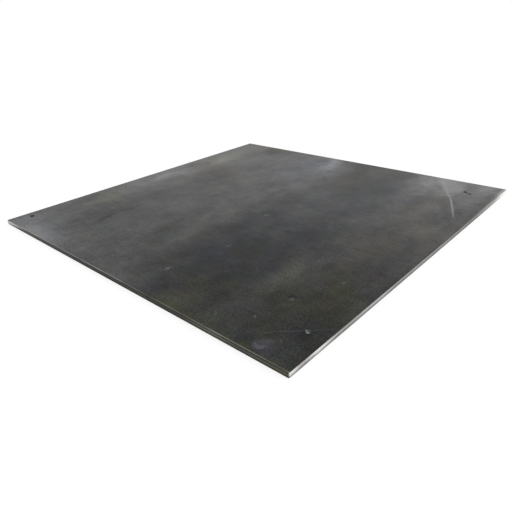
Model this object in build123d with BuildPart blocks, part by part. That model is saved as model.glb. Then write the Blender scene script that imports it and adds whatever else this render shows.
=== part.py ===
from build123d import *
import os

# Hot-rolled steel plate, cut square on a guillotine shear and lying flat.
#
# Millimetres, +Z up. The origin is the middle of the lower face, and X is the rolling direction.
# The blade came down from above, so every edge has the same section, from the top: a rollover, where
# the skin was drawn down, a straight burnished band, where the blade slid, and a torn band that leans
# in to a filed lower corner.

# Plate
plate_length = 500
plate_width = 500
plate_thickness = 6
corner_radius = 1.5     # in plan, where two cuts meet

# Sheared edge
rollover_radius = 0.7
burnish_share = 0.48    # of the thickness, cut by the blade before the steel tears
tear_angle = 6          # degrees that the torn band leans in from upright
burr_bevel = 0.25       # at 45 degrees, where the burr was filed off

burnish_height = burnish_share * plate_thickness
tear_height = plate_thickness - rollover_radius - burnish_height
tear_line = Plane.XY.offset(tear_height)

with BuildPart() as plate:
    # The cut outline, at the height where the steel began to tear
    with BuildSketch(tear_line) as outline:
        RectangleRounded(plate_length, plate_width, corner_radius)

    # Torn band, from the tear line down, leaning in on all four sides
    extrude(amount=-tear_height)
    torn_faces = plate.faces().filter_by(Axis.Z, reverse=True)
    draft(torn_faces, neutral_plane=tear_line, angle=-tear_angle)

    # Burnished band, from the tear line up, with the rollover round the upper face
    extrude(outline.sketch, amount=burnish_height + rollover_radius)
    upper_rim = plate.edges().group_by(Axis.Z)[-1]
    fillet(upper_rim, radius=rollover_radius)

    # Filed lower corner
    lower_rim = plate.edges().group_by(Axis.Z)[0]
    chamfer(lower_rim, length=burr_bevel)

plate.part.label = "plate"

os.makedirs("parts", exist_ok=True)
export_step(plate.part, "parts/plate.step")
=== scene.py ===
import math

import bmesh
import bpy
import numpy as np
from mathutils import Matrix, Vector, geometry, kdtree, noise


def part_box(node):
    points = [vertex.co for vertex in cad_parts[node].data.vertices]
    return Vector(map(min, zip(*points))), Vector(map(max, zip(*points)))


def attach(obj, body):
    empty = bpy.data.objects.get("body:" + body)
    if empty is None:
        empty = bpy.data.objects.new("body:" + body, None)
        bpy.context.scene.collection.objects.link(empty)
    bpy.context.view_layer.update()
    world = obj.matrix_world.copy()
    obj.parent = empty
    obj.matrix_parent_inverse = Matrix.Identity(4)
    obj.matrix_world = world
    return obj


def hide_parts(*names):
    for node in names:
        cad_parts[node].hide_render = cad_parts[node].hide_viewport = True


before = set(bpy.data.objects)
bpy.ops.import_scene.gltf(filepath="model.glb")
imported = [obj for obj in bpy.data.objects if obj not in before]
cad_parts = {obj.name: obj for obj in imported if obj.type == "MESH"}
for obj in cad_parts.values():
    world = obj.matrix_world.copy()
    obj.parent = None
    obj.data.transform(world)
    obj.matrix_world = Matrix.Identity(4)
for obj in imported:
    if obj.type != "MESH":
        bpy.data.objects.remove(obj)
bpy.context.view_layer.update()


# Sheared edge: the four sides are the steel itself, where a guillotine shear cut the plate out.
# From the top down each has a rounded rollover, a band burnished by the blade, a torn band that
# leans in, and a filed corner. One section is swept round the outline, and the tear is uneven.
MM = 0.001
low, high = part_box("plate")
LENGTH = high[0] - low[0]
WIDTH = high[1] - low[1]
THICKNESS = high[2] - low[2]
CORNER_RADIUS = 1.5 * MM
ROLLOVER = 0.7 * MM
BURNISH_SHARE = 0.48            # of the thickness
TEAR_LINE = THICKNESS * (1 - BURNISH_SHARE) - ROLLOVER
TEAR_ANGLE = math.radians(6)
BURR_BEVEL = 0.25 * MM
TEAR_BLEND = 0.3 * MM           # half the height over which the burnish gives way to the tear
TEAR_WAVE = 0.45 * MM           # how far the tear line wanders up and down
TEAR_WAVE_LENGTH = 14 * MM
TEAR_PITS = 0.16 * MM           # how deep the torn grain is
TEAR_GRAIN = 3.2 * MM
ROLLOVER_STEPS = 6
BURNISH_STEPS = 8
TEAR_STEPS = 8
CORNER_STEPS = 6
EDGE_STEP = 1.25 * MM
EDGE_SEED = 3
NOISE_SPAN = (0.25, 0.75)       # nearly all of a noise lies between these
CLOUD_SPAN = (0.3, 0.7)         # and most of it between these: the rest is cut off


def add(tree, kind, inputs=None, **settings):
    """Adds a node to a tree, with its settings, and fills its inputs with values or with links."""
    node = tree.nodes.new(kind)
    for name, value in settings.items():
        setattr(node, name, value)
    for key, value in (inputs or {}).items():
        if isinstance(value, bpy.types.NodeSocket):
            tree.links.new(value, node.inputs[key])
        else:
            node.inputs[key].default_value = value
    return node


def empty_tree(owner):
    """Turns on the nodes of a material or a world, and gives its tree with nothing in it."""
    owner.use_nodes = True
    owner.node_tree.nodes.clear()
    return owner.node_tree


def linear(code):
    """The linear colour of an sRGB hex code."""
    shares = [int(code[i:i + 2], 16) / 255 for i in (1, 3, 5)]
    return (*(s / 12.92 if s <= 0.04045 else ((s + 0.055) / 1.055) ** 2.4 for s in shares), 1.0)


# The section, as (inset from the outline, height), from the upper face to the lower one
tear_inset = TEAR_LINE * math.tan(TEAR_ANGLE)
section_points = []
for step in range(ROLLOVER_STEPS):
    turn = math.pi / 2 * step / ROLLOVER_STEPS
    section_points.append((ROLLOVER * (1 - math.sin(turn)), THICKNESS - ROLLOVER * (1 - math.cos(turn))))
for step in range(BURNISH_STEPS):
    share = step / BURNISH_STEPS
    section_points.append((0, (THICKNESS - ROLLOVER) * (1 - share) + TEAR_LINE * share))
for step in range(TEAR_STEPS + 1):
    share = step / TEAR_STEPS
    section_points.append((tear_inset * share, TEAR_LINE * (1 - share) + BURR_BEVEL * share))
section_points.append((tear_inset + BURR_BEVEL, 0))

section_curve = bpy.data.curves.new("edge_section", "CURVE")
section_curve.dimensions = "3D"
section_line = section_curve.splines.new("POLY")
section_line.points.add(len(section_points) - 1)
for point, (inset, height) in zip(section_line.points, section_points):
    point.co = (-inset, -height, 0, 1)      # a sweep takes X outwards and Y down
section = bpy.data.objects.new("edge_section", section_curve)
bpy.context.scene.collection.objects.link(section)

# Sheared mild steel: bright and smooth where the blade slid, duller and grainy where it tore. The two
# cuts along X are fresh. Those along Y are dark and brown, their darkness partly painted shade, but for the
# last stretch at one corner. Colours by how torn the steel is on a fresh cut, and by height on an old one,
# from the lower face up.
# The dark stop in the middle is a painted shadow along the tear line
FRESH_COLOURS_AND_TEAR_SHADE = [(0.15, "#969593"), (0.5, "#504f4d"), (0.85, "#767573")]
# On an old cut, darker towards the lower face: painted shade where the cut meets the floor
OLD_COLOURS_AND_SHADE = [(0.0, "#0c0b0a"), (0.14, "#171613"), (0.36, "#31302c"), (0.70, "#353430"), (0.79, "#191815"),
               (0.90, "#191815"), (0.94, "#282620")]
RUST = "#4a4230"
DRAG_LINES = 0.9 * MM           # the blade's drag marks, drawn coarser than real so that they show
DRAG_STRETCH = 8
DRAG_TONE = (0.8, 1.15)         # at its darkest and its brightest
DRAG_DEPTH = 0.06 * MM
EDGE_CLOUD = 45 * MM
EDGE_CLOUD_TONE = (0.85, 1.15)
EDGE_ROUGHNESS = (0.34, 0.62)   # burnished and torn
sheared_steel = bpy.data.materials.new("sheared_mild_steel")
tree = empty_tree(sheared_steel)
spot = add(tree, "ShaderNodeTexCoord").outputs["Object"]
torn, shine, fresh, rust = (add(tree, "ShaderNodeAttribute", attribute_name=name).outputs["Fac"]
                            for name in ("torn", "shine", "fresh", "rust"))
height = add(tree, "ShaderNodeSeparateXYZ", {0: spot}).outputs["Z"]
height = add(tree, "ShaderNodeMath", {0: height, 1: THICKNESS}, operation="DIVIDE").outputs[0]
dragged = add(tree, "ShaderNodeMapping", {"Vector": spot, "Scale": (1, 1, 1 / DRAG_STRETCH)}).outputs[0]
drag = add(tree, "ShaderNodeTexNoise",
           {"Vector": dragged, "Scale": 1 / DRAG_LINES, "Detail": 3.0}).outputs["Fac"]
cloud = add(tree, "ShaderNodeTexNoise",
            {"Vector": spot, "Scale": 1 / EDGE_CLOUD, "Detail": 4.0}).outputs["Fac"]
drag_tone = add(tree, "ShaderNodeMapRange", {
    "Value": drag, "From Min": NOISE_SPAN[0], "From Max": NOISE_SPAN[1],
    "To Min": DRAG_TONE[0], "To Max": DRAG_TONE[1]}).outputs[0]
cloud_tone = add(tree, "ShaderNodeMapRange", {
    "Value": cloud, "From Min": CLOUD_SPAN[0], "From Max": CLOUD_SPAN[1],
    "To Min": EDGE_CLOUD_TONE[0], "To Max": EDGE_CLOUD_TONE[1]}).outputs[0]
tone = add(tree, "ShaderNodeMath", {0: drag_tone, 1: cloud_tone}, operation="MULTIPLY").outputs[0]
tone = add(tree, "ShaderNodeMath", {0: tone, 1: shine}, operation="MULTIPLY").outputs[0]
bright = add(tree, "ShaderNodeValToRGB", {"Fac": torn})
dull = add(tree, "ShaderNodeValToRGB", {"Fac": height})
for ramp, stops in ((bright, FRESH_COLOURS_AND_TEAR_SHADE), (dull, OLD_COLOURS_AND_SHADE)):
    for share, code in stops[1:-1]:
        ramp.color_ramp.elements.new(share)
    for element, (share, code) in zip(ramp.color_ramp.elements, stops):
        element.position = share
        element.color = linear(code)
colour = add(tree, "ShaderNodeMix", {"Factor": fresh, 6: dull.outputs[0], 7: bright.outputs[0]},
             data_type="RGBA").outputs[2]
rusty = add(tree, "ShaderNodeMath", {0: rust, 1: cloud}, operation="MULTIPLY", use_clamp=True).outputs[0]
colour = add(tree, "ShaderNodeMix", {"Factor": rusty, 6: colour, 7: linear(RUST)},
             data_type="RGBA").outputs[2]
colour = add(tree, "ShaderNodeVectorMath", {0: colour, "Scale": tone}, operation="SCALE").outputs[0]
rough = add(tree, "ShaderNodeMapRange",
            {"Value": torn, "To Min": EDGE_ROUGHNESS[0], "To Max": EDGE_ROUGHNESS[1]}).outputs[0]
bump = add(tree, "ShaderNodeBump", {"Height": drag, "Strength": 0.4, "Distance": DRAG_DEPTH}).outputs[0]
shader = add(tree, "ShaderNodeBsdfPrincipled", {
    "Base Color": colour, "Metallic": fresh, "Roughness": rough, "Specular IOR Level": 0.1, "Normal": bump})
add(tree, "ShaderNodeOutputMaterial", {"Surface": shader.outputs[0]})

edge_inputs = {
    "Section": ("NodeSocketObject", section),
    "Length": ("NodeSocketFloat", LENGTH),
    "Width": ("NodeSocketFloat", WIDTH),
    "Corner Radius": ("NodeSocketFloat", CORNER_RADIUS),
    "Corner Steps": ("NodeSocketInt", CORNER_STEPS),
    "Step": ("NodeSocketFloat", EDGE_STEP),
    "Top": ("NodeSocketFloat", THICKNESS - ROLLOVER),
    "Tear Line": ("NodeSocketFloat", TEAR_LINE),
    "Tear Start": ("NodeSocketFloat", TEAR_LINE + TEAR_BLEND),
    "Tear End": ("NodeSocketFloat", TEAR_LINE - TEAR_BLEND),
    "Tear Wave": ("NodeSocketFloat", TEAR_WAVE),
    "Wave Length": ("NodeSocketFloat", TEAR_WAVE_LENGTH),
    "Tear Pits": ("NodeSocketFloat", TEAR_PITS),
    "Tear Grain": ("NodeSocketFloat", TEAR_GRAIN),
    "Bevel": ("NodeSocketFloat", BURR_BEVEL),
    "Seed": ("NodeSocketFloat", EDGE_SEED),
    "Material": ("NodeSocketMaterial", sheared_steel),
}
tree = bpy.data.node_groups.new("sheared_edge", "GeometryNodeTree")
tree.interface.new_socket("Geometry", in_out="OUTPUT", socket_type="NodeSocketGeometry")
identifiers = {}
for name, (kind, value) in edge_inputs.items():
    identifiers[name] = tree.interface.new_socket(name, in_out="INPUT", socket_type=kind).identifier
given = add(tree, "NodeGroupInput").outputs

# Outline, with points a step apart on its straight runs
rectangle = add(tree, "GeometryNodeCurvePrimitiveQuadrilateral",
                {"Width": given["Length"], "Height": given["Width"]}).outputs[0]
rounded = add(tree, "GeometryNodeFilletCurve",
              {"Curve": rectangle, "Radius": given["Corner Radius"], "Count": given["Corner Steps"]},
              mode="POLY").outputs[0]
place = add(tree, "GeometryNodeInputPosition").outputs[0]
index = add(tree, "GeometryNodeInputIndex").outputs[0]
following = add(tree, "GeometryNodeOffsetPointInCurve",
                {"Point Index": index, "Offset": 1}).outputs["Point Index"]
next_place = add(tree, "GeometryNodeFieldAtIndex", {"Index": following},
                 data_type="FLOAT_VECTOR", domain="POINT")
tree.links.new(place, next_place.inputs["Value"])
run = add(tree, "ShaderNodeVectorMath", {0: next_place.outputs[0], 1: place},
          operation="DISTANCE").outputs["Value"]
cuts = add(tree, "ShaderNodeMath", {0: run, 1: given["Step"]}, operation="DIVIDE").outputs[0]
outline = add(tree, "GeometryNodeSubdivideCurve", {"Curve": rounded, "Cuts": cuts}).outputs[0]
outline = add(tree, "GeometryNodeSetCurveNormal", {"Curve": outline}, mode="Z_UP").outputs[0]

# Section swept round it. How far across the edge each point is, and how torn, are kept as attributes
profile = add(tree, "GeometryNodeObjectInfo", {"Object": given["Section"]}).outputs["Geometry"]
across = add(tree, "GeometryNodeSplineParameter").outputs["Factor"]
profile = add(tree, "GeometryNodeStoreNamedAttribute",
              {"Geometry": profile, "Name": "across", "Value": across},
              data_type="FLOAT", domain="POINT").outputs[0]
band = add(tree, "GeometryNodeCurveToMesh", {"Curve": outline, "Profile Curve": profile}).outputs[0]
parts = add(tree, "ShaderNodeSeparateXYZ", {0: place}).outputs
below = add(tree, "ShaderNodeMapRange", {
    "Value": parts["Z"], "From Min": given["Tear Start"], "From Max": given["Tear End"]}).outputs[0]
band = add(tree, "GeometryNodeStoreNamedAttribute", {"Geometry": band, "Name": "torn", "Value": below},
           data_type="FLOAT", domain="POINT").outputs[0]

# The tear line wanders up and down: most at the line itself, and not at all at the faces
level_place = add(tree, "ShaderNodeCombineXYZ", {"X": parts["X"], "Y": parts["Y"]}).outputs[0]
scale = add(tree, "ShaderNodeMath", {0: 1.0, 1: given["Wave Length"]}, operation="DIVIDE").outputs[0]
wave = add(tree, "ShaderNodeTexNoise",
           {"Vector": level_place, "W": given["Seed"], "Scale": scale, "Detail": 3.0},
           noise_dimensions="4D").outputs["Fac"]
lowest = add(tree, "ShaderNodeMath", {0: given["Tear Wave"], 1: -1.0}, operation="MULTIPLY").outputs[0]
wave = add(tree, "ShaderNodeMapRange", {
    "Value": wave, "From Min": NOISE_SPAN[0], "From Max": NOISE_SPAN[1],
    "To Min": lowest, "To Max": given["Tear Wave"]}).outputs[0]
from_top, from_bottom = (
    add(tree, "ShaderNodeMapRange",
        {"Value": parts["Z"], "From Min": given[start], "From Max": given["Tear Line"]}).outputs[0]
    for start in ("Top", "Bevel"))
sway = add(tree, "ShaderNodeMath", {0: from_top, 1: from_bottom}, operation="MINIMUM").outputs[0]
rise = add(tree, "ShaderNodeMath", {0: wave, 1: sway}, operation="MULTIPLY").outputs[0]
lift = add(tree, "ShaderNodeCombineXYZ", {"Z": rise}).outputs[0]
band = add(tree, "GeometryNodeSetPosition", {"Geometry": band, "Offset": lift}).outputs[0]

# The torn grain is pitted inwards
scale = add(tree, "ShaderNodeMath", {0: 1.0, 1: given["Tear Grain"]}, operation="DIVIDE").outputs[0]
grain = add(tree, "ShaderNodeTexNoise",
            {"Vector": place, "W": given["Seed"], "Scale": scale, "Detail": 4.0},
            noise_dimensions="4D").outputs["Fac"]
tornness = add(tree, "GeometryNodeInputNamedAttribute", {"Name": "torn"}, data_type="FLOAT").outputs[0]
pits = add(tree, "ShaderNodeMath", {0: grain, 1: given["Tear Pits"]}, operation="MULTIPLY").outputs[0]
for amount in (tornness, from_bottom, -1.0):
    pits = add(tree, "ShaderNodeMath", {0: pits, 1: amount}, operation="MULTIPLY").outputs[0]
outwards = add(tree, "GeometryNodeInputNormal").outputs[0]
push = add(tree, "ShaderNodeVectorMath", {0: outwards, "Scale": pits}, operation="SCALE").outputs[0]
band = add(tree, "GeometryNodeSetPosition", {"Geometry": band, "Offset": push}).outputs[0]
band = add(tree, "GeometryNodeRealizeInstances", {"Geometry": band}).outputs[0]
band = add(tree, "GeometryNodeSetMaterial", {"Geometry": band, "Material": given["Material"]}).outputs[0]
add(tree, "NodeGroupOutput", {0: band})

edge = bpy.data.objects.new("edge", bpy.data.meshes.new("edge"))
bpy.context.scene.collection.objects.link(edge)
edge_nodes = edge.modifiers.new("sheared_edge", "NODES")
edge_nodes.node_group = tree
for name, (kind, value) in edge_inputs.items():
    edge_nodes[identifiers[name]] = value
edge_mesh = bpy.data.meshes.new_from_object(edge.evaluated_get(bpy.context.evaluated_depsgraph_get()))
edge.modifiers.remove(edge_nodes)
bpy.data.objects.remove(edge)
bpy.data.objects.remove(section)

# Stretches of the cuts that are painted brighter as highlights where they caught the light, drawn darker, or
# rusted, as soft patches in millimetres:
# (x, y, half length, half width, turn in degrees, strength)
# Painted highlights: stretches of the cuts drawn brighter where they caught the light
SHINE = [
    (-210, -250, 19, 9, 0, 1.90), (-240, -250, 12, 9, 0, 0.30), (-116, -250, 24, 9, 0, 0.42),
    (256, -250, 40, 9, 0, 2.60), (-250, 240, 9, 40, 0, 0.70), (-250, 185, 9, 26, 0, 1.20),
    (-250, -80, 9, 50, 0, 0.35), (-250, -165, 9, 30, 0, 5.60), (-250, -228, 9, 28, 0, 4.60),
]
# Stretches drawn darker, more so towards the foot of a cut
DARKENED_STRETCHES = [
    (-10, -250, 50, 9, 0, 0.26), (110, -250, 80, 9, 0, 0.28), (128, -250, 26, 9, 0, 0.20),
    (185, -250, 28, 9, 0, 0.42), (-250, 75, 9, 85, 0, 0.42),
]
RUSTED = [(-250, -80, 9, 70, 0, 0.40), (-250, -246, 6, 8, 0, 0.50), (100, -250, 60, 9, 0, 0.70)]
TOP_BIAS = 0.5                  # painted highlights are that much weaker at the foot of a cut, and the darker stretches at its top
CUT_BLEND = 2.0                 # round a corner, from one cut to the next
FRESH_START, FRESH_FADE = 208, 36       # where along Y the left cut turns fresh, and over what length
FRESH_LEAN, FRESH_LAG = 0.9, 0.3        # it turns earlier at the top
PALE_START, PALE_FADE = 100, 130        # where along X the fresh cuts turn pale at the foot, a painted highlight
PALE_GAIN = 4


def patches(places, spots, hardness=1):
    """The strength of soft patches at each place, added up. Harder ones are flat with a crisper outline."""
    total = np.zeros(len(places))
    for x, y, half_length, half_width, turn, strength in spots:
        c, s = math.cos(math.radians(turn)), math.sin(math.radians(turn))
        dx, dy = places[:, 0] - x, places[:, 1] - y
        along = (c * dx + s * dy) / half_length
        across = (c * dy - s * dx) / half_width
        total += strength * np.exp(-(along ** 2 + across ** 2) ** hardness)
    return total


def keep(mesh, name, values):
    """Keeps a number for each vertex of a mesh as an attribute, for a material to read."""
    mesh.attributes.new(name, "FLOAT", "POINT").data.foreach_set("value", values.astype(np.float32))


places = np.array([v.co for v in edge_mesh.vertices]) / MM
past_x = np.abs(places[:, 0]) - LENGTH / MM / 2
past_y = np.abs(places[:, 1]) - WIDTH / MM / 2
height_share = places[:, 2] / (THICKNESS / MM)
fresh_cut = np.clip(0.5 + (past_y - past_x) / CUT_BLEND, 0, 1)
fresh_end = (places[:, 1] - FRESH_START) / FRESH_FADE + FRESH_LEAN * height_share - FRESH_LAG
left_cut = np.maximum(fresh_cut, np.clip(fresh_end, 0, 1))
keep(edge_mesh, "fresh", np.where(places[:, 0] < 0, left_cut, fresh_cut))
# The pale foot and the brighter stretches are painted highlights; the darker stretches only darken
pale = np.clip((places[:, 0] - PALE_START) / PALE_FADE, 0, 1) * (1 - height_share)
pale = pale ** 2 * (past_y > past_x)
highlighted = patches(places, SHINE) * (1 - TOP_BIAS + TOP_BIAS * height_share)
darkened = patches(places, DARKENED_STRETCHES) * (1 - TOP_BIAS * height_share)
keep(edge_mesh, "shine", 1 + highlighted - darkened + PALE_GAIN * pale)
keep(edge_mesh, "rust", patches(places, RUSTED))


# Rolled faces: the plate's two sides as they left the rolls, under a skin of dark scale. The upper one
# has been handled: it has a few dents and pits, and scratches where something was dragged across it.
# Marks are hollows in the face, and the mesh is finer where they are. Sizes in millimetres.
GRID = 4.0
UNDERSIDE_GRID = 20.0
# name: (x, y, radius, depth, share of the radius that a boss in the middle takes)
DENTS = {
    "bright_dent": (-199.4, -230.4, 3.0, 0.25, 0.0),
    "ring_dent": (-166.3, -186.7, 4.6, 0.25, 0.40),
    "left_pit": (-221.2, 234.4, 3.6, 0.20, 0.0),
    "right_pit_upper": (206.5, -207.2, 2.8, 0.20, 0.0),
    "right_pit_lower": (202.7, -214.2, 3.0, 0.20, 0.0),
    "speck_front": (-209.6, -178.8, 2.4, 0.12, 0.0),
    "speck_low": (-223.3, -220.4, 2.2, 0.08, 0.0),
    "speck_left": (-200.4, -43.8, 3.4, 0.12, 0.0),
    "speck_middle_left": (-121.6, -58.1, 3.0, 0.08, 0.0),
    "speck_middle": (-24.0, -33.0, 3.2, 0.08, 0.0),
    "speck_olive": (-112.5, -209.6, 2.4, 0.06, 0.0),
    "speck_edge": (-228.4, -147.5, 2.6, 0.08, 0.0),
    "wiped_patch": (-235.5, -211.8, 9.0, 0.0, 0.0),     # no hollow, only a finer mesh for its outline
}
BOSS_DEPTH = 0.35               # of a boss's middle, as a share of the hollow's
DENT_RINGS = (0.18, 0.36, 0.54, 0.7, 0.85, 1.0, 1.25, 1.7)      # of points, in radii
RING_START, RING_GROWTH = 8, 3          # points in the first ring, and how many more in each next one
# name: (depth, [(x, y, width, how bare the steel is, or below zero how dark), ...])
SCRATCHES = {
    "front_scratch": (0.05, [
        (-226.0, -201.0, 1.4, 0.09), (-221.0, -204.8, 1.0, 0.11), (-215.8, -208.8, 0.8, 0.06),
        (-209.0, -217.0, 1.0, 0.11), (-204.5, -222.2, 1.0, 0.08), (-198.7, -227.4, 1.0, 0.11),
        (-195.5, -232.0, 0.9, 0.08), (-188.2, -239.8, 0.9, 0.08), (-182.5, -245.6, 0.8, 0.06)]),
    "streak": (0.03, [
        (247.0, -154.0, 12.0, 0.05), (233.5, -162.5, 11.0, 0.12), (212.0, -176.0, 8.0, 0.16),
        (191.9, -187.4, 5.0, 0.20), (180.2, -195.0, 3.6, 0.36), (173.5, -199.4, 2.2, 0.26),
        (160.0, -206.4, 2.1, 0.46), (134.6, -218.2, 2.0, 0.50), (115.0, -227.0, 1.7, 0.34),
        (104.5, -231.4, 1.5, 0.08), (92.0, -237.2, 1.4, 0.0)]),
    "cross_scratch": (0.02, [
        (151.0, -138.0, 4.0, 0.02), (157.8, -151.7, 4.0, 0.06), (170.7, -170.4, 3.6, 0.06),
        (178.5, -185.0, 3.4, 0.08), (182.0, -196.0, 4.0, 0.22), (188.0, -200.6, 3.6, 0.16),
        (194.5, -204.5, 2.0, 0.0)]),
    "gouge": (0.20, [
        (207.0, -206.0, 2.0, -0.6), (204.6, -210.6, 1.6, -0.45), (201.6, -216.4, 1.8, -0.5)]),
}
SCRATCH_ROWS = (-2.2, -1.4, -0.9, -0.45, 0.0, 0.45, 0.9, 1.4, 2.2)      # of points, in half widths
SCRATCH_PITCH = 1.0             # between a row's points
DISTANCE_PITCH = 0.2            # between the points that distances to a scratch are measured from
MARK_CLEARANCE = 0.45           # of the grid from the marks' own points, as a share of its pitch
RIM_CLEARANCE = 1.2             # of the marks' points from the rim
SKIN_DRAWN = 0.62               # share of the rollover that the skin was drawn down before the blade bit
SHARP_ANGLE = math.radians(35)
SAME_HEIGHT = 1e-7              # in metres
SAME_PLACE = 1e-6
INSIDE_OUTLINE = 1              # the kind of triangulation that keeps to the rim


def finder_of(points):
    """A finder of the nearest of some points."""
    finder = kdtree.KDTree(len(points))
    for number, point in enumerate(points):
        finder.insert((point[0], point[1], 0), number)
    finder.balance()
    return finder


def along_path(points, pitch):
    """Rows of a broken line's points, a pitch apart, with all their numbers filled in between."""
    line = np.array(points, float)
    reach = np.concatenate([[0], np.cumsum(np.hypot(*np.diff(line[:, :2], axis=0).T))])
    at = np.linspace(0, reach[-1], max(2, round(reach[-1] / pitch) + 1))
    return np.stack([np.interp(at, reach, column) for column in line.T], 1)


def off_path(places, points):
    """How far each place is from a broken line, with the numbers of the line's nearest point."""
    rows = along_path(points, DISTANCE_PITCH)
    finder = finder_of(rows)
    found = [finder.find((x, y, 0))[1:] for x, y in places]
    return np.array([away for number, away in found]), rows[[number for number, away in found]]


def hollow(places):
    """How deep the upper face lies at each place, for its dents and scratches."""
    deep = np.zeros(len(places))
    for x, y, radius, depth, boss in DENTS.values():
        share = np.hypot(places[:, 0] - x, places[:, 1] - y) / radius
        bowl = np.clip(1 - ((share - boss) / (1 - boss)) ** 2, 0, 1) ** 2
        if boss:
            bowl *= np.where(share < boss, BOSS_DEPTH + (1 - BOSS_DEPTH) * share / boss, 1)
        deep = np.maximum(deep, depth * bowl)
    for depth, points in SCRATCHES.values():
        away, nearest = off_path(places, points)
        deep = np.maximum(deep, depth * np.clip(1 - away / (nearest[:, 2] / 2), 0, 1))
    return deep


def marked_points():
    """Points that follow the dents and the scratches closely enough to show their shape."""
    found = []
    for x, y, radius, depth, boss in DENTS.values():
        found.append([(x, y)])
        for ring, share in enumerate(DENT_RINGS):
            count = RING_START + RING_GROWTH * ring
            turn = 2 * np.pi * (np.arange(count) + 0.5 * (ring % 2)) / count
            found.append(np.stack([x + share * radius * np.cos(turn), y + share * radius * np.sin(turn)], 1))
    for depth, points in SCRATCHES.values():
        rows = along_path(points, SCRATCH_PITCH)
        ways = np.gradient(rows[:, :2], axis=0)
        sideways = np.stack([-ways[:, 1], ways[:, 0]], 1) / np.linalg.norm(ways, axis=1)[:, None]
        for side in SCRATCH_ROWS:
            found.append(rows[:, :2] + sideways * (side * rows[:, 2] / 2)[:, None])
    return np.concatenate(found)


def face_points(pitch, finer):
    """A grid of points over a face, clear of the finer ones, which it ends with."""
    half_length, half_width = LENGTH / MM / 2, WIDTH / MM / 2
    xs = np.arange(pitch / 2 - half_length, half_length, pitch)
    ys = np.arange(pitch / 2 - half_width, half_width, pitch)
    grid = np.stack(np.meshgrid(xs, ys), -1).reshape(-1, 2)
    if len(finer) == 0:
        return grid
    inside_x = np.abs(finer[:, 0]) < half_length - RIM_CLEARANCE
    inside_y = np.abs(finer[:, 1]) < half_width - RIM_CLEARANCE
    finer = finer[inside_x & inside_y]
    finder = finder_of(finer)
    clear = [finder.find((x, y, 0))[2] > MARK_CLEARANCE * pitch for x, y in grid]
    return np.concatenate([grid[clear], finer])


def rolled_face(mesh, height, points, deep):
    """Fills the swept edge's rim at a height with triangles through the points, sunk by their depth."""
    rim = [v for v in mesh.verts if abs(v.co.z - height) < SAME_HEIGHT]
    number = {v: i for i, v in enumerate(rim)}
    rim_edges = [e for e in mesh.edges if e.is_boundary and e.verts[0] in number]
    outline = [(number[e.verts[0]], number[e.verts[1]]) for e in rim_edges]
    flat = [v.co.xy / MM for v in rim] + [Vector(p) for p in points]
    made, _, faces, came_from, _, _ = geometry.delaunay_2d_cdt(
        flat, outline, [], INSIDE_OUTLINE, SAME_PLACE)
    depths = dict(zip(range(len(rim), len(flat)), deep))
    verts = []
    for place, origins in zip(made, came_from):
        old = next((o for o in origins if o < len(rim)), None)
        if old is not None:
            verts.append(rim[old])
        else:
            sunk = depths[origins[0]] if origins else 0
            verts.append(mesh.verts.new((place.x * MM, place.y * MM, height - sunk * MM)))
    for corners in faces:
        mesh.faces.new([verts[c] for c in corners])


CUT_START = THICKNESS - SKIN_DRAWN * ROLLOVER
plate_bmesh = bmesh.new()
plate_bmesh.from_mesh(edge_mesh)
for face in plate_bmesh.faces:
    face.material_index = int(face.calc_center_median().z < CUT_START)
upper_points = face_points(GRID, marked_points())
under_points = face_points(UNDERSIDE_GRID, np.zeros((0, 2)))
rolled_face(plate_bmesh, THICKNESS, upper_points, hollow(upper_points))
rolled_face(plate_bmesh, 0.0, under_points, np.zeros(len(under_points)))
bmesh.ops.recalc_face_normals(plate_bmesh, faces=plate_bmesh.faces)
for face in plate_bmesh.faces:
    face.smooth = True
plate_mesh = bpy.data.meshes.new("plate_steel")
plate_bmesh.to_mesh(plate_mesh)
plate_bmesh.free()
plate_mesh.set_sharp_from_angle(angle=SHARP_ANGLE)
plate = bpy.data.objects.new("plate_steel", plate_mesh)
bpy.context.scene.collection.objects.link(plate)
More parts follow.
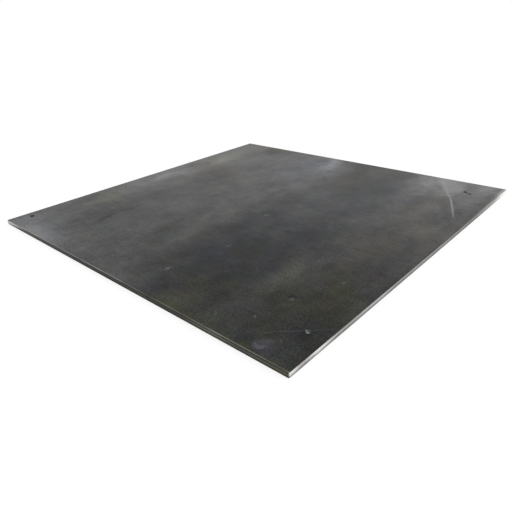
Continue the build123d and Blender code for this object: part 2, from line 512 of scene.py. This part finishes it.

# What lies on the upper face, as soft patches like those of the cuts. First the film of oil, by how much
# thicker it is than elsewhere, with painted reflections of lamps near the right-hand side drawn as thicker
# oil, and places where a wipe left it thicker, with crisper outlines
FILM_AND_REFLECTIONS = [
    (-250, 176, 22, 44, 0, 0.95), (-232, 170, 34, 60, 0, 0.20), (-178, 223, 18, 12, 0, -0.20),
    (-155, 158, 50, 34, 0, -0.26), (-190, 167, 9, 6, 0, -0.24), (-160, 146, 14, 7, 0, -0.24),
    (-127, 141, 12, 6, 0, -0.26), (-179, 138, 10, 6, 0, -0.16), (-214, 175, 9, 5, 0, -0.20),
    (-5, 220, 64, 18, 0, 0.38), (22, 222, 26, 10, 0, 0.25), (72, 150, 50, 32, 0, -0.27),
    (140, 212, 42, 13, -4, 0.40), (156, 163, 32, 22, 0, 0.10), (225, 170, 40, 32, 0, -0.46),
    # (224, 28) on the next line is a painted reflection of a lamp
    (138, 28, 54, 44, 0, 0.20), (224, 28, 44, 12, 20, 0.95), (180, -40, 84, 28, 0, -0.32),
    (-240, -5, 18, 30, 0, 0.44), (-214, 16, 13, 9, 0, -0.14), (-100, 20, 62, 24, 0, 0.12),
    (-86, 20, 16, 7, 0, -0.16), (-60, 14, 15, 10, 0, -0.14), (-120, 44, 34, 22, 0, -0.30),
    (68, 40, 22, 12, 0, -0.12), (-110, -80, 105, 46, 0, -0.40), (-40, -120, 60, 20, 0, -0.19),
    (10, -140, 28, 14, 0, -0.12), (150, -68, 32, 12, 0, -0.12), (-50, -86, 46, 18, 0, 0.22),
    (135, -96, 110, 30, 0, -0.30), (-148, -160, 44, 16, 0, 0.20), (-150, -208, 66, 38, 0, -0.24),
    # From (211, -152) on the next line to (214, -191) on the one after, and (242, -226) below, are painted
    # reflections of lamps
    (100, -150, 36, 16, 0, 0.10), (85, -185, 66, 50, 0, 0.04), (211, -152, 50, 26, 25, 0.76),
    (242, -160, 34, 22, 25, 0.60), (226, -176, 36, 14, 30, 0.74), (214, -191, 32, 9, 4, 0.55),
    (160, -184, 14, 7, 25, -0.14), (128, -214, 20, 4, 25, -0.24), (98, -228, 16, 5, 25, -0.18),
    (132, -228, 20, 5, 25, -0.20), (242, -226, 26, 20, 0, 0.85), (200, -228, 34, 14, 0, 0.18),
    (-208, -240, 16, 11, 0, -0.30), (-234, -224, 12, 8, 0, 0.22), (-90, -26, 100, 17, 0, -0.17),
    (35, -22, 60, 18, 0, -0.27), (-162, -118, 44, 28, 0, -0.20), (-40, 137, 120, 44, 0, -0.11),
    (200, -72, 60, 12, 0, -0.06), (-138, 231, 36, 14, 0, -0.26), (-230, 229, 20, 14, 0, 0.12),
    (212, 78, 48, 26, 0, 0.14), (-224, -70, 26, 26, 0, -0.24), (228, -122, 30, 16, 0, -0.20),
    (-125, -228, 26, 14, 0, -0.16), (-28, -214, 36, 28, 0, -0.14), (42, -226, 32, 22, 0, 0.22),
    (-215, 212, 26, 30, 0, 0.12), (244, -24, 18, 46, 0, -0.32), (-222, 58, 26, 24, 0, 0.18),
    (-200, -208, 30, 30, 0, -0.10), (60, 244, 90, 8, 0, 0.16), (-185, -22, 44, 20, 0, -0.14),
    (-118, -8, 28, 16, 0, -0.18), (168, -215, 28, 10, 25, 0.26),
]
WIPED = [
    (-240.4, -207.4, 2.8, 1.7, 40, 1.15), (-241.2, -212.9, 2.8, 1.7, -50, 2.30),
    (-237.8, -215.4, 3.6, 1.4, -40, 0.80), (-241.4, -209.8, 1.8, 1.3, -50, 0.60),
    (-233.6, -212.0, 7.0, 4.0, -42, 0.45), (-229.6, -213.4, 4.4, 2.2, -42, 0.40),
    (-229.0, -193.0, 6.0, 4.0, -50, 0.25), (-112.5, -209.6, 2.6, 2.4, 0, 0.45),
]
# Tarnish of three colours, by how strong it is
OLIVE = [
    (-222, -108, 40, 34, 0, 1.0), (-148, -160, 52, 18, 0, 0.6), (-150, -215, 62, 32, 0, 0.9),
    (-108, 212, 26, 22, 0, 1.6), (215, 95, 40, 40, 0, 0.3), (-100, 20, 60, 24, 0, 0.3),
    (205, -38, 50, 32, 0, 0.4), (0, -212, 9, 7, 0, 0.8), (20, 115, 40, 30, 0, 0.3),
    (140, 212, 56, 20, 0, 1.1), (205, 224, 36, 16, 0, 0.7), (40, -195, 90, 36, 0, 0.25),
    (-225, -228, 36, 30, 0, 0.14), (-241, -218, 12, 9, 0, -0.50), (235, -45, 26, 70, 0, 0.4),
    (-250, -150, 6, 80, 0, 0.9), (-240, -170, 20, 22, 0, 0.6), (-247, -222, 6, 24, 0, 0.7),
    (-142, 34, 16, 7, 0, 0.5), (-122, 8, 16, 7, 0, 0.5), (-238, 126, 12, 14, 0, 0.5),
]
BROWN = [
    (72, 170, 48, 50, 0, 0.7), (228, 188, 26, 36, 0, 1.1), (155, -52, 30, 16, 0, 0.9),
    (226, -60, 40, 50, 0, 0.2), (-30, -185, 46, 38, 0, 0.25), (85, -185, 60, 40, 0, 0.20),
    (100, 222, 50, 18, 0, 0.3), (25, -208, 110, 36, 0, 0.25), (90, -249, 110, 7, 0, 0.5),
]
BLUE = [
    (-238, 188, 30, 52, 0, 1.1), (-135, -60, 40, 28, 0, 0.8), (-48, -116, 62, 18, 0, 0.8),
    (156, 163, 34, 24, 0, 0.7), (165, 52, 64, 42, 0, 1.3), (105, -92, 90, 30, 0, 0.5),
    (22, 224, 42, 14, 0, 0.4), (-112, 46, 40, 16, 0, 0.4), (30, -55, 50, 22, 0, 0.5),
    (-235, -235, 26, 20, 0, 0.2), (-236, -208, 7, 18, 0, 0.72), (-241.5, -219, 6, 6, 0, 0.7),
    (215, 52, 50, 40, 0, 1.2), (-232, 232, 24, 20, 0, 0.5), (-205, -42, 28, 18, 0, 0.5),
    (-192, -238, 26, 14, 0, 0.7), (50, -40, 130, 40, 0, 0.4), (110, -125, 110, 36, 0, 0.5),
]
# Scale knocked off down to the steel, in dents and along the right-hand rim, and what is dark: pits, and
# rings round dents. Some of it is painted light: a highlight crescent in the bright dent, highlights under
# the right-hand pit and along the right-hand rim, and shade beside the bright dent
BARE_AND_HIGHLIGHT = [
    # The bright dent: bare steel laid as a crescent, a painted highlight (the three patches from here)
    (-198.5, -230.4, 2.2, 1.5, 36, 0.13), (-199.3, -228.7, 2.0, 0.75, 36, 0.44),
    (-200.7, -231.2, 1.8, 1.1, -51, 0.42), (-167.0, -187.3, 2.9, 2.0, 36, 0.20),
    (-166.0, -186.3, 1.5, 0.9, 36, -0.22), (-210.2, -179.6, 3.0, 0.9, 43, 0.15),
    (-223.3, -220.4, 3.2, 0.7, 43, 0.08), (-228.4, -147.5, 4.0, 1.1, 43, 0.07),
    (-201.4, -43.6, 3.4, 2.2, 43, 0.14), (-198.0, -44.6, 2.8, 1.5, -10, 0.09),
    (-122.9, -57.9, 2.2, 1.8, -10, 0.10), (-119.2, -58.3, 2.4, 1.4, -10, 0.08),
    (-25.0, -31.6, 2.6, 2.2, -40, 0.14), (-22.6, -34.6, 2.4, 1.8, -40, 0.10),
    # The second patch on the next line is a painted highlight under the right-hand pit
    (-112.5, -209.6, 1.5, 1.2, 0, 0.10), (201.2, -209.0, 2.2, 1.6, 18, 0.12),
    # Bare steel along the right-hand rim, with a painted highlight where the right-hand end goes white
    (236, -249.6, 26, 2.8, 0, 0.60), (200, -250, 50, 1.8, 0, 0.30), (150, -250, 60, 1.0, 0, 0.20),
]
DARK_AND_SHADE = [
    (-221.2, 234.4, 4.0, 3.0, 68, 1.2), (206.3, -207.4, 4.0, 2.2, 24, 1.1),
    # Painted shade beside the bright dent: the last patch of the next line and the first of the one after
    (202.0, -215.0, 3.6, 2.0, 58, 0.80), (-196.4, -231.8, 1.6, 1.2, 36, 0.5),
    (-202.8, -232.6, 2.4, 1.1, -51, 0.3), (-165.6, -186.2, 6.0, 3.6, 36, 0.55),
    (-208.3, -176.2, 2.4, 1.3, 36, 0.3),
]
# Where the rim's bright line, partly a painted highlight, is worn more or less than elsewhere
RIM_WORN_AND_HIGHLIGHT = [
    (-250, 178, 9, 30, 0, 0.8), (-250, 25, 9, 26, 0, 0.5), (-250, -75, 9, 26, 0, -0.5),
    (-250, -122, 9, 24, 0, -0.45), (-250, -165, 9, 14, 0, 0.3), (-250, -228, 9, 24, 0, -0.45),
]
WARP = [(45.0, 11.0), (13.0, 5.0)]      # the stains' outlines wander: over this length, by this much
WARP_SEED = 1
WARP_LEVEL = 0.5                # where the noise is cut, between two layers of its grid
WIPED_WARP = 0.15               # how much of that the wipes' outlines take
STAIN_LIMIT = 3
MARK_HARDNESS = 2

noise.seed_set(WARP_SEED)       # without it, the noise differs from run to run
places = np.array([v.co for v in plate_mesh.vertices]) / MM
flat = places[:, :2]
drift = sum(reach * np.array([noise.noise_vector((x / length, y / length, WARP_LEVEL))[:2] for x, y in flat])
            for length, reach in WARP)
upper = places[:, 2] > CUT_START / MM
# The film's patches include the painted reflections of lamps
for name, spots in {"film_and_reflections": FILM_AND_REFLECTIONS, "olive": OLIVE, "brown": BROWN, "blue": BLUE}.items():
    plain = 0.0
    stain = patches(flat + drift, spots)
    if name == "film_and_reflections":
        plain = 1.0
        stain += plain + patches(flat + WIPED_WARP * drift, WIPED)
    keep(plate_mesh, name, np.where(upper, np.clip(stain, 0, STAIN_LIMIT), plain))
# These masks also carry the marks' painted highlights and shade
bareness_and_highlight = patches(flat, BARE_AND_HIGHLIGHT, MARK_HARDNESS)
darkness_and_shade = patches(flat, DARK_AND_SHADE, MARK_HARDNESS)
for depth, points in SCRATCHES.values():
    away, nearest = off_path(flat, points)
    line = np.exp(-(away / (nearest[:, 2] / 2)) ** 2) * nearest[:, 3]
    bareness_and_highlight = np.maximum(bareness_and_highlight, line)
    darkness_and_shade = np.maximum(darkness_and_shade, -line)
keep(plate_mesh, "bare_and_highlight", np.clip(bareness_and_highlight, 0, 1) * upper)
keep(plate_mesh, "dark_and_shade", np.clip(darkness_and_shade, 0, 1) * upper)
keep(plate_mesh, "rim", 1 + patches(flat, RIM_WORN_AND_HIGHLIGHT))

# Oiled mill scale: the thin blue-black oxide that hot rolling leaves, under a wiped film of oil. It is dark
# and satin, cloudy where the film is thick or thin, with faint olive, brown and blue tarnish in bands
# along the rolling direction. Bare steel shows in the scratches, and the pits are near black.
SCALE_GREY, OLIVE_TARNISH, BROWN_TARNISH, BLUE_TARNISH = "#0e0f10", "#1f210a", "#2c2012", "#080d17"
# Bare steel also paints the marks' highlights, pit black their shade, and the rim's colour the highlight
# along the rollover
PIT_BLACK_AND_SHADE, BARE_STEEL_AND_HIGHLIGHT, RIM_STEEL_AND_HIGHLIGHT = "#060606", "#a4a7a3", "#a8a59d"
SCALE_ROUGHNESS = (0.26, 0.44)
PIT_ROUGHNESS = 0.25            # on top of the scale's own
MOTTLE = 36 * MM
MOTTLE_STRETCH = 1.6            # longer in the rolling direction
MOTTLE_TONE = (0.61, 1.39)      # at its darkest and its brightest
SCALE_GRAIN = 2.0 * MM          # drawn coarser than real so that it shows
GRAIN_TONE = (0.64, 1.36)
GRAIN_DEPTH = 0.05 * MM
WIPES = 4 * MM                  # strokes left by wiping the oil, across the rolling direction
WIPE_STRETCH = 5
WIPE_TONE = (0.88, 1.12)
TINT = 16 * MM
TINT_RANGE = (0.010, 0.0115, 0.010)
TARNISH_BANDS = 30 * MM
TARNISH_AXIS = (0.014, 0.0155, -0.0115)     # from blue to olive
OIL, OIL_RANGE = 0.30, 0.62     # weight of the film at a tone of 1, and how much it grows with the tone
RIM_REACH = 3.0                 # the rim's bright line lies within this much of an old cut, in millimetres
RIM_LINE = [(0.1, 0.1), (0.55, 1.0), (0.95, 1.0), (1.5, 0.0)]       # (how far in, how bright)
RIM_WEAR_AND_HIGHLIGHT = (0.216, 0.54)        # least and most
RIM_WEAR_LENGTH = 23 * MM
mill_scale = bpy.data.materials.new("oiled_mill_scale")
tree = empty_tree(mill_scale)
spot = add(tree, "ShaderNodeTexCoord").outputs["Object"]
film_and_reflections, olive, brown, blue, bare_and_highlight, dark_and_shade, rim_worn_and_highlight = (
    add(tree, "ShaderNodeAttribute", attribute_name=name).outputs["Fac"]
    for name in ("film_and_reflections", "olive", "brown", "blue", "bare_and_highlight", "dark_and_shade", "rim"))

# How bright the film is: mottled along the rolling direction, grainy, and streaked by wiping
rolled = add(tree, "ShaderNodeMapping", {"Vector": spot, "Scale": (1 / MOTTLE_STRETCH, 1, 1)}).outputs[0]
mottle = add(tree, "ShaderNodeTexNoise",
             {"Vector": rolled, "Scale": 1 / MOTTLE, "Detail": 6.0, "Roughness": 0.68}).outputs["Fac"]
grain = add(tree, "ShaderNodeTexNoise",
            {"Vector": spot, "Scale": 1 / SCALE_GRAIN, "Detail": 3.0}).outputs["Fac"]
wiped = add(tree, "ShaderNodeMapping", {"Vector": spot, "Scale": (1, 1 / WIPE_STRETCH, 1)}).outputs[0]
wipes = add(tree, "ShaderNodeTexNoise",
            {"Vector": wiped, "Scale": 1 / WIPES, "Detail": 3.0, "Distortion": 0.6}).outputs["Fac"]
mottle_tone, grain_tone, wipe_tone = (
    add(tree, "ShaderNodeMapRange", {"Value": pattern, "From Min": NOISE_SPAN[0], "From Max": NOISE_SPAN[1],
                                     "To Min": darkest, "To Max": brightest}).outputs[0]
    for pattern, (darkest, brightest) in ((mottle, MOTTLE_TONE), (grain, GRAIN_TONE), (wipes, WIPE_TONE)))
tone = film_and_reflections
for swing in (mottle_tone, grain_tone, wipe_tone):
    tone = add(tree, "ShaderNodeMath", {0: tone, 1: swing}, operation="MULTIPLY").outputs[0]

# Its colour: the scale's own, then tarnish, then faint shifts of tint
colour = linear(SCALE_GREY)
for amount, code in ((olive, OLIVE_TARNISH), (brown, BROWN_TARNISH), (blue, BLUE_TARNISH)):
    colour = add(tree, "ShaderNodeMix", {"Factor": amount, 6: colour, 7: linear(code)}, data_type="RGBA",
                 clamp_factor=False).outputs[2]
colour = add(tree, "ShaderNodeVectorMath", {0: colour, "Scale": tone}, operation="SCALE").outputs[0]
tint = add(tree, "ShaderNodeTexNoise", {"Vector": spot, "Scale": 1 / TINT, "Detail": 3.0}).outputs["Color"]
tint = add(tree, "ShaderNodeVectorMath", {0: tint, 1: TINT_RANGE, 2: [-t / 2 for t in TINT_RANGE]},
           operation="MULTIPLY_ADD").outputs[0]
bands = add(tree, "ShaderNodeTexNoise",
            {"Vector": rolled, "Scale": 1 / TARNISH_BANDS, "Detail": 5.0, "Roughness": 0.6}).outputs["Fac"]
bands = add(tree, "ShaderNodeMath", {0: bands, 1: 0.5}, operation="SUBTRACT").outputs[0]
bands = add(tree, "ShaderNodeVectorMath", {0: TARNISH_AXIS, "Scale": bands}, operation="SCALE").outputs[0]
for shift in (tint, bands):
    colour = add(tree, "ShaderNodeVectorMath", {0: colour, 1: shift}, operation="ADD").outputs[0]

# A bright line, worn in places, just inside the two old cuts: bare steel and partly a painted highlight
# along the rollover
along = add(tree, "ShaderNodeSeparateXYZ", {0: spot}).outputs["X"]
inset = add(tree, "ShaderNodeMath", {0: along}, operation="ABSOLUTE").outputs[0]
inset = add(tree, "ShaderNodeMapRange",
            {"Value": inset, "From Min": LENGTH / 2, "From Max": LENGTH / 2 - RIM_REACH * MM}).outputs[0]
# This line is partly a painted highlight along the rollover
rim_highlight_line = add(tree, "ShaderNodeValToRGB", {"Fac": inset})
for distance, amount in RIM_LINE[1:-1]:
    rim_highlight_line.color_ramp.elements.new(distance / RIM_REACH)
for element, (distance, amount) in zip(rim_highlight_line.color_ramp.elements, RIM_LINE):
    element.position = distance / RIM_REACH
    element.color = (amount, amount, amount, 1)
rim_wear_and_highlight = add(tree, "ShaderNodeTexNoise",
           {"Vector": spot, "Scale": 1 / RIM_WEAR_LENGTH, "Detail": 3.0}).outputs["Fac"]
rim_wear_and_highlight = add(tree, "ShaderNodeMapRange", {
    "Value": rim_wear_and_highlight, "From Min": CLOUD_SPAN[0], "From Max": CLOUD_SPAN[1],
    "To Min": RIM_WEAR_AND_HIGHLIGHT[0], "To Max": RIM_WEAR_AND_HIGHLIGHT[1]}).outputs[0]
rim_wear_and_highlight = add(tree, "ShaderNodeMath", {0: rim_wear_and_highlight, 1: rim_worn_and_highlight}, operation="MULTIPLY").outputs[0]
rim = add(tree, "ShaderNodeMath", {0: rim_highlight_line.outputs[0], 1: rim_wear_and_highlight}, operation="MULTIPLY",
          use_clamp=True).outputs[0]

# Bare steel and pits over all that, with the marks' painted highlights and shade. The film coats everything
# but the pits
bare_and_highlight = add(tree, "ShaderNodeMath", {0: bare_and_highlight, 1: grain_tone}, operation="MULTIPLY", use_clamp=True).outputs[0]
worn_and_highlight = add(tree, "ShaderNodeMath", {0: bare_and_highlight, 1: rim}, operation="MAXIMUM").outputs[0]
for amount, code in ((dark_and_shade, PIT_BLACK_AND_SHADE), (bare_and_highlight, BARE_STEEL_AND_HIGHLIGHT), (rim, RIM_STEEL_AND_HIGHLIGHT)):
    colour = add(tree, "ShaderNodeMix", {"Factor": amount, 6: colour, 7: linear(code)},
                 data_type="RGBA").outputs[2]
oil = add(tree, "ShaderNodeMath", {0: tone, 1: OIL_RANGE, 2: OIL - OIL_RANGE},
          operation="MULTIPLY_ADD").outputs[0]
clean = add(tree, "ShaderNodeMath", {0: 1.0, 1: dark_and_shade}, operation="SUBTRACT").outputs[0]
oil = add(tree, "ShaderNodeMath", {0: oil, 1: clean}, operation="MULTIPLY", use_clamp=True).outputs[0]
rough = add(tree, "ShaderNodeMapRange",
            {"Value": mottle, "To Min": SCALE_ROUGHNESS[0], "To Max": SCALE_ROUGHNESS[1]}).outputs[0]
rough = add(tree, "ShaderNodeMath", {0: dark_and_shade, 1: PIT_ROUGHNESS, 2: rough}, operation="MULTIPLY_ADD",
            use_clamp=True).outputs[0]
bump = add(tree, "ShaderNodeBump", {"Height": grain, "Strength": 0.25, "Distance": GRAIN_DEPTH}).outputs[0]
shader = add(tree, "ShaderNodeBsdfPrincipled", {
    "Base Color": colour, "Metallic": worn_and_highlight, "Roughness": rough, "Specular IOR Level": 0.1,
    "Coat Weight": oil, "Coat Roughness": 0.22, "Normal": bump, "Coat Normal": bump})
add(tree, "ShaderNodeOutputMaterial", {"Surface": shader.outputs[0]})

plate_mesh.materials.append(mill_scale)
plate_mesh.materials.append(sheared_steel)

# The plate's own map of itself, in shares of its side: most of it is the upper face, with a strip for each
# cut above it and the underside, smaller, beside it
MAP_MARGIN = 0.005
FACE_SIDE = 0.79
UNDERSIDE_SIDE, UNDERSIDE_START = 0.18, 0.81
STRIP_LENGTH, STRIP_HEIGHT = 0.99, 0.04
STRIP_START, STRIP_PITCH = 0.81, 0.046
edge_share = np.zeros(len(plate_mesh.vertices), np.float32)
plate_mesh.attributes["across"].data.foreach_get("value", edge_share)
shares = flat / (LENGTH / MM, WIDTH / MM) + 0.5
chart = plate_mesh.uv_layers.new(name="OFBake")
for face in plate_mesh.polygons:
    for corner in face.loop_indices:
        number = plate_mesh.loops[corner].vertex_index
        x, y = shares[number]
        if face.index < len(edge_mesh.polygons):
            along_y = abs(face.center.x) > abs(face.center.y)
            strip = STRIP_START + STRIP_PITCH * (2 * along_y + (face.center.x + face.center.y > 0))
            run = STRIP_LENGTH * (y if along_y else x)
            place = (MAP_MARGIN + run, strip + STRIP_HEIGHT * edge_share[number])
        elif face.normal.z > 0:
            place = (MAP_MARGIN + FACE_SIDE * x, MAP_MARGIN + FACE_SIDE * y)
        else:
            place = (UNDERSIDE_START + UNDERSIDE_SIDE * x, MAP_MARGIN + UNDERSIDE_SIDE * y)
        chart.data[corner].uv = place
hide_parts("plate")
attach(plate, "root")


# Studio: a plain white floor and a soft light from the front right. The camera stands where the
# photograph's did, found from the plate's outline: low, close, and turned a little on its axis.
scene = bpy.context.scene
scene.view_settings.view_transform = "Standard"

AIM = Vector((-0.1219, -0.1013, THICKNESS))
AZIMUTH = math.radians(-46.706)
ELEVATION = math.radians(27.183)
ROLL = math.radians(-2.88)
DISTANCE = 0.532
LENS = 33.522
SENSOR = 36.0
back = Vector((math.sin(AZIMUTH) * math.cos(ELEVATION), -math.cos(AZIMUTH) * math.cos(ELEVATION),
               math.sin(ELEVATION)))
right = Vector((math.cos(AZIMUTH), math.sin(AZIMUTH), 0))
up = back.cross(right)
right, up = math.cos(ROLL) * right + math.sin(ROLL) * up, math.cos(ROLL) * up - math.sin(ROLL) * right
camera_data = bpy.data.cameras.new("camera")
camera_data.lens = LENS
camera_data.sensor_width = SENSOR
camera = bpy.data.objects.new("camera", camera_data)
turned = Matrix((right, up, back)).transposed().to_4x4()
camera.matrix_world = Matrix.Translation(AIM + DISTANCE * back) @ turned
scene.collection.objects.link(camera)
scene.camera = camera


def seen_ray(tree):
    """1 for a ray that the camera sends, straight, mirrored or through glass, and 0 for other light."""
    path = add(tree, "ShaderNodeLightPath").outputs
    seen = add(tree, "ShaderNodeMath", {0: path["Is Camera Ray"], 1: path["Is Glossy Ray"]},
               operation="ADD").outputs[0]
    return add(tree, "ShaderNodeMath", {0: seen, 1: path["Is Transmission Ray"]}, operation="ADD",
               use_clamp=True).outputs[0]


# White paper: plain and matt. It is lit, and glows a little to the camera, so that it comes out white
# but keeps the plate's shadow.
FLOOR_SIZE = 40.0
FLOOR_GAP = 0.1 * MM
FLOOR_WHITE, FLOOR_GLOW = "#7a7a7a", 0.82
half = FLOOR_SIZE / 2
floor_mesh = bpy.data.meshes.new("floor")
floor_mesh.from_pydata([(-half, -half, 0), (half, -half, 0), (half, half, 0), (-half, half, 0)], [],
                       [(0, 1, 2, 3)])
floor_mesh.transform(Matrix.Translation((0, 0, low[2] - FLOOR_GAP)))
floor = bpy.data.objects.new("floor", floor_mesh)
scene.collection.objects.link(floor)
white_paper = bpy.data.materials.new("white_paper")
tree = empty_tree(white_paper)
glow = add(tree, "ShaderNodeMath", {0: seen_ray(tree), 1: FLOOR_GLOW}, operation="MULTIPLY").outputs[0]
glow = add(tree, "ShaderNodeEmission", {"Color": (1, 1, 1, 1), "Strength": glow}).outputs[0]
paper = add(tree, "ShaderNodeBsdfDiffuse", {"Color": linear(FLOOR_WHITE)}).outputs[0]
both = add(tree, "ShaderNodeAddShader", {0: paper, 1: glow}).outputs[0]
add(tree, "ShaderNodeOutputMaterial", {"Surface": both})
floor_mesh.materials.append(white_paper)

# Even light from all round, with white behind it all
AMBIENT = 0.7
world = bpy.data.worlds.new("studio")
tree = empty_tree(world)
strength = add(tree, "ShaderNodeMapRange",
               {"Value": seen_ray(tree), "To Min": AMBIENT, "To Max": 1.0}).outputs[0]
sky = add(tree, "ShaderNodeBackground", {"Color": (1, 1, 1, 1), "Strength": strength}).outputs[0]
add(tree, "ShaderNodeOutputWorld", {"Surface": sky})
scene.world = world

# One large soft lamp
KEY_LIGHT = 1.3
KEY_SOFTNESS = math.radians(60)
KEY_FROM = Vector((0.55, -0.75, 1.0))
key_data = bpy.data.lights.new("key", "SUN")
key_data.energy = KEY_LIGHT
key_data.angle = KEY_SOFTNESS
key = bpy.data.objects.new("key", key_data)
key.rotation_euler = KEY_FROM.to_track_quat("Z", "Y").to_euler()
scene.collection.objects.link(key)
